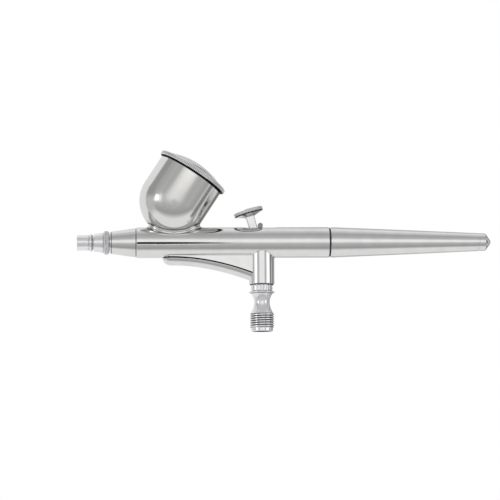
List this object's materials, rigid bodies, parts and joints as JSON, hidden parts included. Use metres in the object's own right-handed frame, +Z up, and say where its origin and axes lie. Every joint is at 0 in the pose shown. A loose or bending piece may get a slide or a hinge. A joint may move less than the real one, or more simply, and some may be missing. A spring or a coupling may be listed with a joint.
{
  "type": "airbrush gun",
  "caption": "Dual-action gravity-feed airbrush with tilted lidded paint cup, button trigger, curved finger rest, threaded air inlet and long tapered handle.",
  "frame": {"origin": "centre of the air inlet's mouth, which is the lowest point of the gun", "axes": "+X back along the barrel to the end of the handle, +Y to the gun's right side, +Z up the valve to the barrel and the cup"},
  "size_m": [0.166, 0.0296, 0.0725],
  "materials": {
    "chrome": "polished chrome plate",
    "black_rubber": "satin black seal rubber",
    "packing_white": "white packing plastic",
    "steel": "ground stainless steel",
    "brass": "turned brass"
  },
  "bodies": {
    "gun": {"gun_body": "chrome", "paint_cup": "chrome", "valve_casing": "chrome", "casing_seal": "black_rubber", "casing_ring": "black_rubber", "plunger_packing": "packing_white", "valve_screw": "brass", "valve_spring": "steel", "head": "chrome", "head_seal": "packing_white", "nozzle": "chrome", "nozzle_seal": "packing_white", "air_cap": "chrome", "needle_packing": "packing_white", "packing_screw": "brass", "spring_case": "chrome", "needle_spring": "steel", "handle_ring": "black_rubber"},
    "plunger": {"valve_plunger": "steel", "valve_seal": "black_rubber"},
    "trigger_lever": {"trigger": "chrome", "finger_button": "chrome"},
    "back_lever": {"back_lever": "chrome"},
    "needle_set": {"needle": "steel", "needle_guide": "brass", "chuck_nut": "chrome"},
    "lid": {"cup_lid": "chrome"},
    "needle_guard": {"needle_cap": "chrome"},
    "handle": {"handle": "chrome"}
  },
  "joints": [
    {"name": "trigger_press", "type": "slide", "parent": "gun", "child": "plunger", "axis": [0, 0, -1], "range_m": [0, 0.0015], "stiffness_N_per_m": 900, "springref_m": -0.0012, "deforming": ["valve_spring"]},
    {"name": "trigger_pull", "type": "hinge", "parent": "plunger", "child": "trigger_lever", "pos_m": [0, 0, 0.0302], "axis": [0, 1, 0], "range_deg": [0, 18.1]},
    {"name": "lever_swing", "type": "hinge", "parent": "gun", "child": "back_lever", "pos_m": [0.0036, 0, 0.0307], "axis": [0, 1, 0], "range_deg": [0, 17.1]},
    {"name": "needle_draw", "type": "slide", "parent": "gun", "child": "needle_set", "axis": [1, 0, 0], "range_m": [0, 0.0024], "stiffness_N_per_m": 400, "springref_m": -0.003, "deforming": ["needle_spring"]},
    {"name": "lid_lift", "type": "slide", "parent": "gun", "child": "lid", "axis": [0.5476, 0, 0.8368], "range_m": [0, 0.012]},
    {"name": "needle_cap_off", "type": "slide", "parent": "gun", "child": "needle_guard", "axis": [-1, 0, 0], "range_m": [0, 0.008]},
    {"name": "handle_off", "type": "slide", "parent": "gun", "child": "handle", "axis": [1, 0, 0], "range_m": [0, 0.04]}
  ],
  "couplings": [
    {"joint": "trigger_pull", "follows": "needle_draw", "rad_per_m": 131},
    {"joint": "lever_swing", "follows": "needle_draw", "rad_per_m": 123.7}
  ]
}
